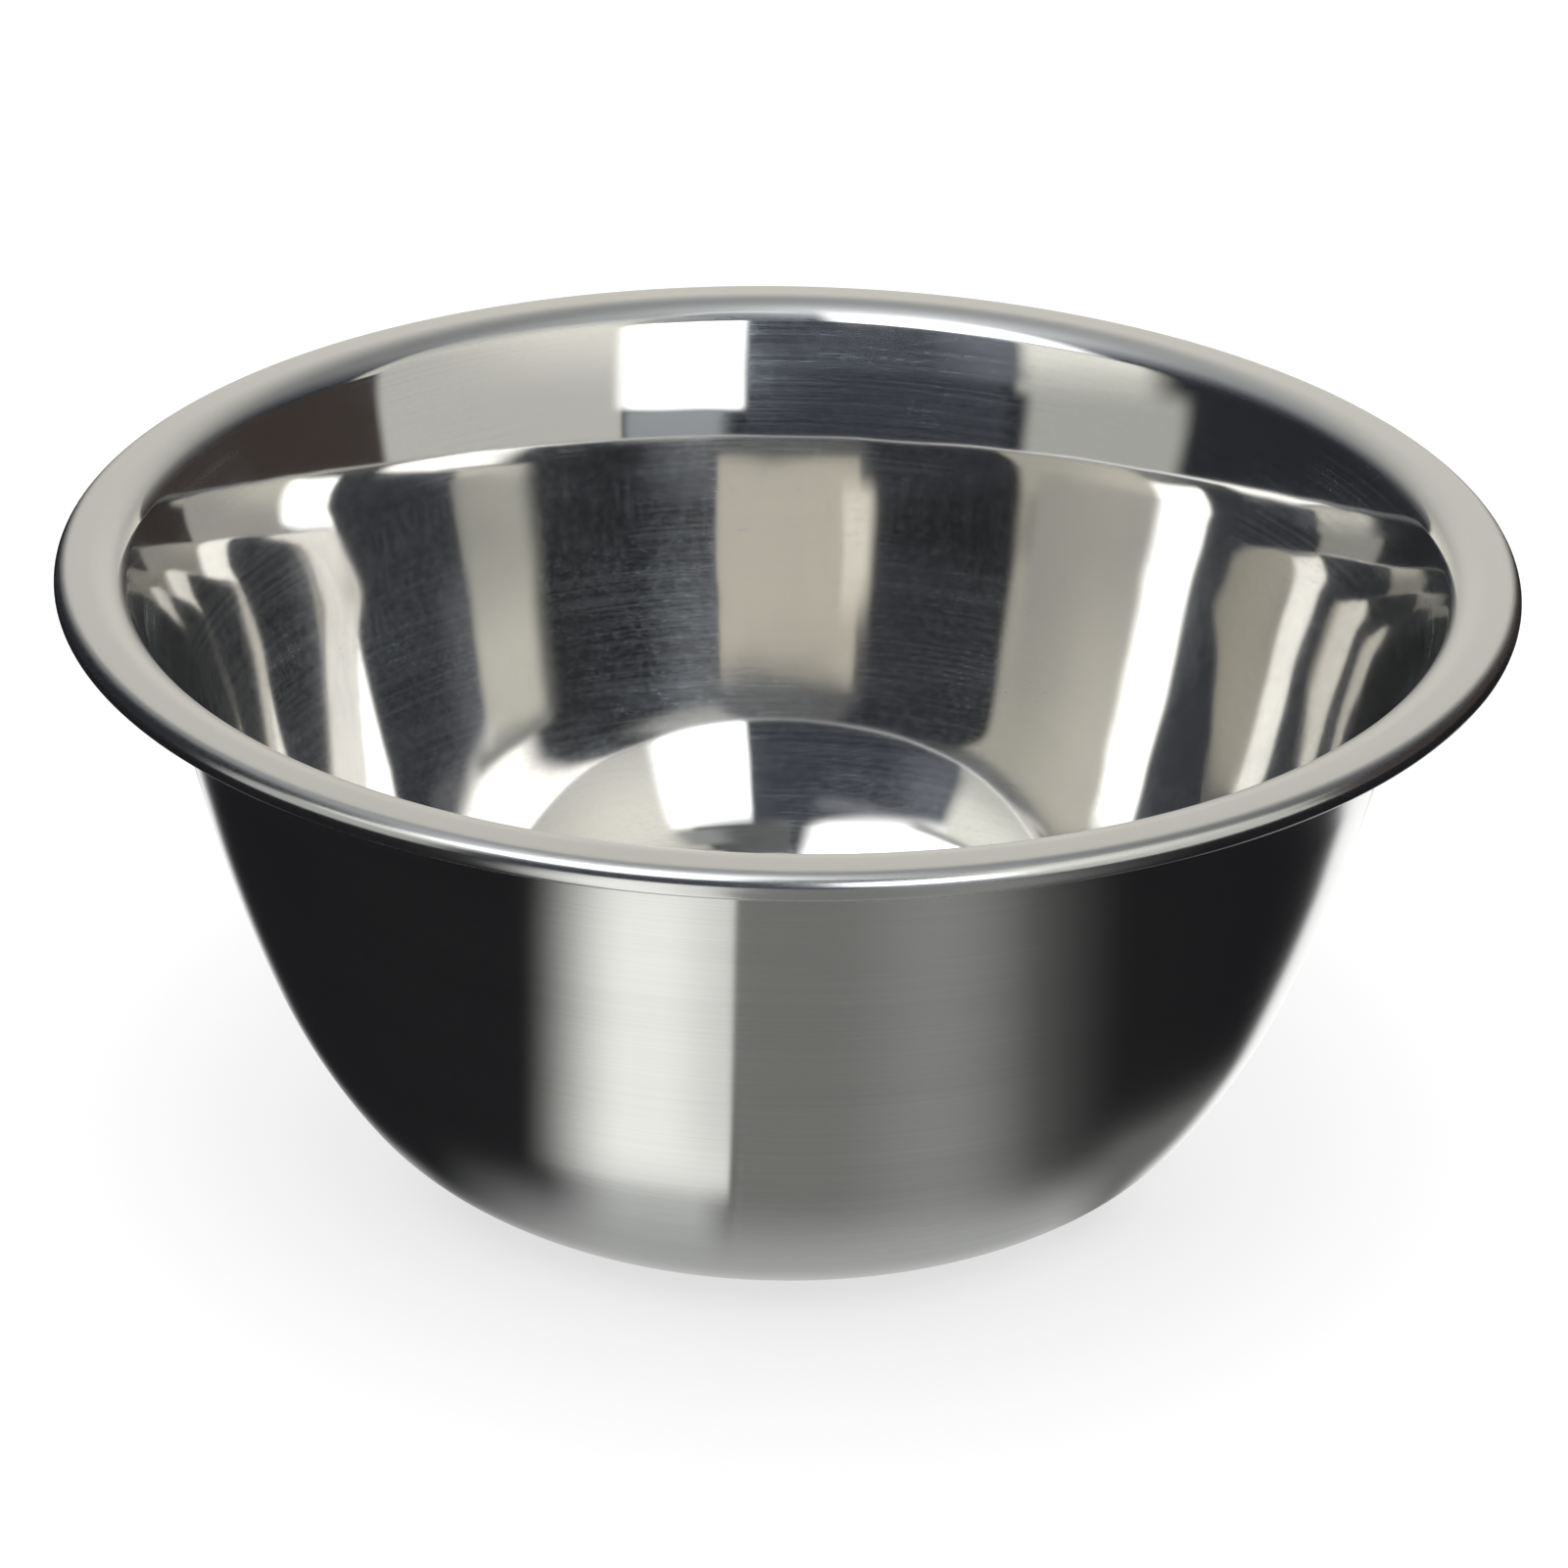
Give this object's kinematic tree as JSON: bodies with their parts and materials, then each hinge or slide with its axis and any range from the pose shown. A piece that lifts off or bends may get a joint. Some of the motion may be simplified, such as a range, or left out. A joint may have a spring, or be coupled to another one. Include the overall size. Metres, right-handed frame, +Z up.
{
  "type": "mixing bowl",
  "caption": "Deep round-bellied metal bowl with a flared mouth, a flat rim on a rounded shoulder, a curled edge and a flat base ring.",
  "frame": {"origin": "centre of the base, on the plane of the standing ring", "axes": "+Z up along the bowl's axis of symmetry, through the open mouth; X and Y are free, as the bowl is round"},
  "size_m": [0.2, 0.2, 0.0877],
  "materials": {
    "steel": "polished inside with fine buffing lines, satin on the rim, brushed round the outside"
  },
  "bodies": {
    "root": {"bowl": "steel"}
  },
  "joints": []
}
